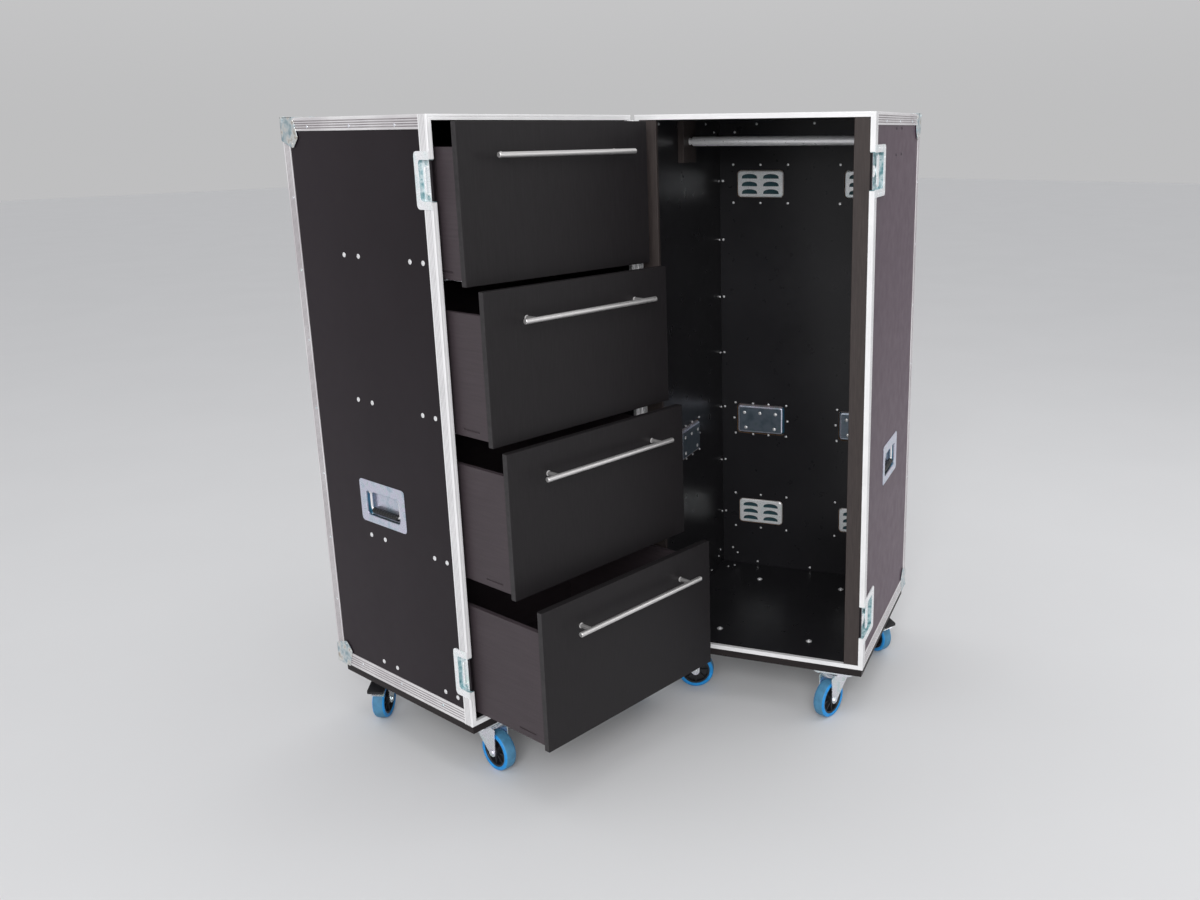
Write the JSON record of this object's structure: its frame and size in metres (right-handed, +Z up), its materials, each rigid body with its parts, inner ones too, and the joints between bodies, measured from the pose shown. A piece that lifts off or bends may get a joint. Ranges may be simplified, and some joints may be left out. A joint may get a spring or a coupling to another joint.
{
  "type": "wardrobe trunk",
  "caption": "Upright two-part travel trunk on castors: a half with drawers and a half with a hanging rail, joined by an upright hinge, with recessed latches and handles.",
  "frame": {"origin": "on the floor under the axis of the case hinge", "axes": "+Z up, -Y is the way the drawers pull out, -X from the hinge to the drawer half's free side"},
  "size_m": [1.3885, 1.1393, 1.5525],
  "materials": {
    "black_laminate": "satin black phenolic laminate on plywood",
    "drawer_board": "matt dark brown-grey board",
    "front_board": "matt black board with a fine grain",
    "board_ply": "black-stained plywood",
    "aluminium_profile": "ridged, clear anodised",
    "zinc_steel": "zinc plated, blue-green tint",
    "satin_steel": "satin stainless",
    "chrome_tube": "polished",
    "black_grip": "moulded black sleeve",
    "blue_tyre": "elastic blue tread on a black rim"
  },
  "bodies": {
    "drawer_case": {"drawer_case_back_panel": "black_laminate", "drawer_case_castor_board": "board_ply", "drawer_case_closing_frame": "aluminium_profile", "drawer_case_edge_trim": "aluminium_profile", "drawer_case_fasteners": "zinc_steel", "drawer_case_handle_dish": "zinc_steel", "drawer_case_hinge_leaf": "aluminium_profile", "drawer_case_side_panels": "black_laminate", "drawer_case_top_and_bottom": "black_laminate", "latch_keepers": "zinc_steel", "slide_outer_rails": "zinc_steel"},
    "wardrobe": {"back_vents": "zinc_steel", "hanging_rail": "chrome_tube", "latch_dishes": "zinc_steel", "rail_pads": "black_laminate", "wardrobe_back_panel": "black_laminate", "wardrobe_castor_board": "board_ply", "wardrobe_closing_frame": "aluminium_profile", "wardrobe_edge_trim": "aluminium_profile", "wardrobe_fasteners": "zinc_steel", "wardrobe_handle_dishes": "zinc_steel", "wardrobe_hinge_leaf": "aluminium_profile", "wardrobe_side_panels": "black_laminate", "wardrobe_stiles": "front_board", "wardrobe_top_and_bottom": "black_laminate"},
    "drawer_1": {"drawer_1_box": "drawer_board", "drawer_1_front": "front_board", "drawer_1_handle": "satin_steel"},
    "drawer_2": {"drawer_2_box": "drawer_board", "drawer_2_front": "front_board", "drawer_2_handle": "satin_steel"},
    "drawer_3": {"drawer_3_box": "drawer_board", "drawer_3_front": "front_board", "drawer_3_handle": "satin_steel"},
    "drawer_4": {"drawer_4_box": "drawer_board", "drawer_4_front": "front_board", "drawer_4_handle": "satin_steel"},
    "drawer_case_front_free_fork": {"drawer_case_front_free_fork": "zinc_steel"},
    "drawer_case_front_free_wheel": {"drawer_case_front_free_wheel": "blue_tyre"},
    "drawer_case_front_hinge_fork": {"drawer_case_front_hinge_fork": "zinc_steel"},
    "drawer_case_front_hinge_wheel": {"drawer_case_front_hinge_wheel": "blue_tyre"},
    "drawer_case_rear_free_fork": {"drawer_case_rear_free_fork": "zinc_steel"},
    "drawer_case_rear_free_wheel": {"drawer_case_rear_free_wheel": "blue_tyre"},
    "drawer_case_rear_hinge_fork": {"drawer_case_rear_hinge_fork": "zinc_steel"},
    "drawer_case_rear_hinge_wheel": {"drawer_case_rear_hinge_wheel": "blue_tyre"},
    "drawer_case_free_side_bail": {"drawer_case_free_side_bail": "black_grip"},
    "wardrobe_front_free_fork": {"wardrobe_front_free_fork": "zinc_steel"},
    "wardrobe_front_free_wheel": {"wardrobe_front_free_wheel": "blue_tyre"},
    "wardrobe_front_hinge_fork": {"wardrobe_front_hinge_fork": "zinc_steel"},
    "wardrobe_front_hinge_wheel": {"wardrobe_front_hinge_wheel": "blue_tyre"},
    "wardrobe_rear_free_fork": {"wardrobe_rear_free_fork": "zinc_steel"},
    "wardrobe_rear_free_wheel": {"wardrobe_rear_free_wheel": "blue_tyre"},
    "wardrobe_rear_hinge_fork": {"wardrobe_rear_hinge_fork": "zinc_steel"},
    "wardrobe_rear_hinge_wheel": {"wardrobe_rear_hinge_wheel": "blue_tyre"},
    "wardrobe_free_side_bail": {"wardrobe_free_side_bail": "black_grip"},
    "wardrobe_hinge_side_bail": {"wardrobe_hinge_side_bail": "black_grip"},
    "wardrobe_back_free_bail": {"wardrobe_back_free_bail": "black_grip"},
    "wardrobe_back_hinge_bail": {"wardrobe_back_hinge_bail": "black_grip"},
    "latch_wing_upper": {"latch_wing_upper": "zinc_steel"},
    "latch_wing_lower": {"latch_wing_lower": "zinc_steel"}
  },
  "joints": [
    {"name": "case_hinge", "type": "hinge", "parent": "drawer_case", "child": "wardrobe", "pos_m": [0, 0, 0.848], "axis": [0, 0, 1], "range_deg": [-35, 60]},
    {"name": "drawer_1_slide", "type": "slide", "parent": "drawer_case", "child": "drawer_1", "axis": [0, -1, 0], "range_m": [-0.0655, 0.3845]},
    {"name": "drawer_2_slide", "type": "slide", "parent": "drawer_case", "child": "drawer_2", "axis": [0, -1, 0], "range_m": [-0.1187, 0.3313]},
    {"name": "drawer_3_slide", "type": "slide", "parent": "drawer_case", "child": "drawer_3", "axis": [0, -1, 0], "range_m": [-0.1623, 0.2877]},
    {"name": "drawer_4_slide", "type": "slide", "parent": "drawer_case", "child": "drawer_4", "axis": [0, -1, 0], "range_m": [-0.2458, 0.2042]},
    {"name": "drawer_case_front_free_swivel", "type": "hinge", "parent": "drawer_case", "child": "drawer_case_front_free_fork", "pos_m": [-0.525, 0.0455, 0.128], "axis": [0, 0, 1], "continuous": true},
    {"name": "drawer_case_front_free_spin", "type": "hinge", "parent": "drawer_case_front_free_fork", "child": "drawer_case_front_free_wheel", "pos_m": [-0.52626, 0.00952, 0.05], "axis": [0.9994, -0.0349, 0], "continuous": true},
    {"name": "drawer_case_front_hinge_swivel", "type": "hinge", "parent": "drawer_case", "child": "drawer_case_front_hinge_fork", "pos_m": [-0.085, 0.0455, 0.128], "axis": [0, 0, 1], "continuous": true},
    {"name": "drawer_case_front_hinge_spin", "type": "hinge", "parent": "drawer_case_front_hinge_fork", "child": "drawer_case_front_hinge_wheel", "pos_m": [-0.067, 0.01432, 0.05], "axis": [0.866, 0.5, 0], "continuous": true},
    {"name": "drawer_case_rear_free_swivel", "type": "hinge", "parent": "drawer_case", "child": "drawer_case_rear_free_fork", "pos_m": [-0.525, 0.472, 0.128], "axis": [0, 0, 1], "continuous": true},
    {"name": "drawer_case_rear_free_spin", "type": "hinge", "parent": "drawer_case_rear_free_fork", "child": "drawer_case_rear_free_wheel", "pos_m": [-0.55412, 0.45084, 0.05], "axis": [0.5878, -0.809, 0], "continuous": true},
    {"name": "drawer_case_rear_hinge_swivel", "type": "hinge", "parent": "drawer_case", "child": "drawer_case_rear_hinge_fork", "pos_m": [-0.085, 0.472, 0.128], "axis": [0, 0, 1], "continuous": true},
    {"name": "drawer_case_rear_hinge_spin", "type": "hinge", "parent": "drawer_case_rear_hinge_fork", "child": "drawer_case_rear_hinge_wheel", "pos_m": [-0.09125, 0.50745, 0.05], "axis": [-0.9848, -0.1736, 0], "continuous": true},
    {"name": "drawer_case_free_side_bail_lift", "type": "hinge", "parent": "drawer_case", "child": "drawer_case_free_side_bail", "pos_m": [-0.5955, 0.292, 0.66387], "axis": [0, 1, 0], "range_deg": [0, 85], "stiffness_Nm_per_rad": 0.2},
    {"name": "wardrobe_front_free_swivel", "type": "hinge", "parent": "wardrobe", "child": "wardrobe_front_free_fork", "pos_m": [0.22232, -0.47778, 0.128], "axis": [0, 0, 1], "continuous": true},
    {"name": "wardrobe_front_free_spin", "type": "hinge", "parent": "wardrobe_front_free_fork", "child": "wardrobe_front_free_wheel", "pos_m": [0.18632, -0.47778, 0.05], "axis": [0, -1, 0], "continuous": true},
    {"name": "wardrobe_front_hinge_swivel", "type": "hinge", "parent": "wardrobe", "child": "wardrobe_front_hinge_fork", "pos_m": [0.07183, -0.06431, 0.128], "axis": [0, 0, 1], "continuous": true},
    {"name": "wardrobe_front_hinge_spin", "type": "hinge", "parent": "wardrobe_front_hinge_fork", "child": "wardrobe_front_hinge_wheel", "pos_m": [0.09399, -0.09268, 0.05], "axis": [0.788, 0.6157, 0], "continuous": true},
    {"name": "wardrobe_rear_free_swivel", "type": "hinge", "parent": "wardrobe", "child": "wardrobe_rear_free_fork", "pos_m": [0.60242, -0.33943, 0.128], "axis": [0, 0, 1], "continuous": true},
    {"name": "wardrobe_rear_free_spin", "type": "hinge", "parent": "wardrobe_rear_free_fork", "child": "wardrobe_rear_free_wheel", "pos_m": [0.59371, -0.37436, 0.05], "axis": [0.9703, -0.2419, 0], "continuous": true},
    {"name": "wardrobe_rear_hinge_swivel", "type": "hinge", "parent": "wardrobe", "child": "wardrobe_rear_hinge_fork", "pos_m": [0.45193, 0.07404, 0.128], "axis": [0, 0, 1], "continuous": true},
    {"name": "wardrobe_rear_hinge_spin", "type": "hinge", "parent": "wardrobe_rear_hinge_fork", "child": "wardrobe_rear_hinge_wheel", "pos_m": [0.48311, 0.09204, 0.05], "axis": [-0.5, 0.866, 0], "continuous": true},
    {"name": "wardrobe_free_side_bail_lift", "type": "hinge", "parent": "wardrobe", "child": "wardrobe_free_side_bail", "pos_m": [0.48558, -0.45698, 0.66387], "axis": [-0.9397, -0.342, 0], "range_deg": [0, 85], "stiffness_Nm_per_rad": 0.2},
    {"name": "wardrobe_hinge_side_bail_lift", "type": "hinge", "parent": "wardrobe", "child": "wardrobe_hinge_side_bail", "pos_m": [0.28687, 0.08898, 0.66387], "axis": [0.9397, 0.342, 0], "range_deg": [0, 85], "stiffness_Nm_per_rad": 0.2},
    {"name": "wardrobe_back_free_bail_lift", "type": "hinge", "parent": "wardrobe", "child": "wardrobe_back_free_bail", "pos_m": [0.71461, -0.23687, 0.66387], "axis": [0.342, -0.9397, 0], "range_deg": [0, 85], "stiffness_Nm_per_rad": 0.2},
    {"name": "wardrobe_back_hinge_bail_lift", "type": "hinge", "parent": "wardrobe", "child": "wardrobe_back_hinge_bail", "pos_m": [0.6038, 0.06759, 0.66387], "axis": [0.342, -0.9397, 0], "range_deg": [0, 85], "stiffness_Nm_per_rad": 0.2},
    {"name": "latch_wing_upper_turn", "type": "hinge", "parent": "wardrobe", "child": "latch_wing_upper", "pos_m": [0.25955, -0.54936, 1.414], "axis": [0.342, -0.9397, 0], "range_deg": [0, 180]},
    {"name": "latch_wing_lower_turn", "type": "hinge", "parent": "wardrobe", "child": "latch_wing_lower", "pos_m": [0.25955, -0.54936, 0.282], "axis": [0.342, -0.9397, 0], "range_deg": [0, 180]}
  ]
}
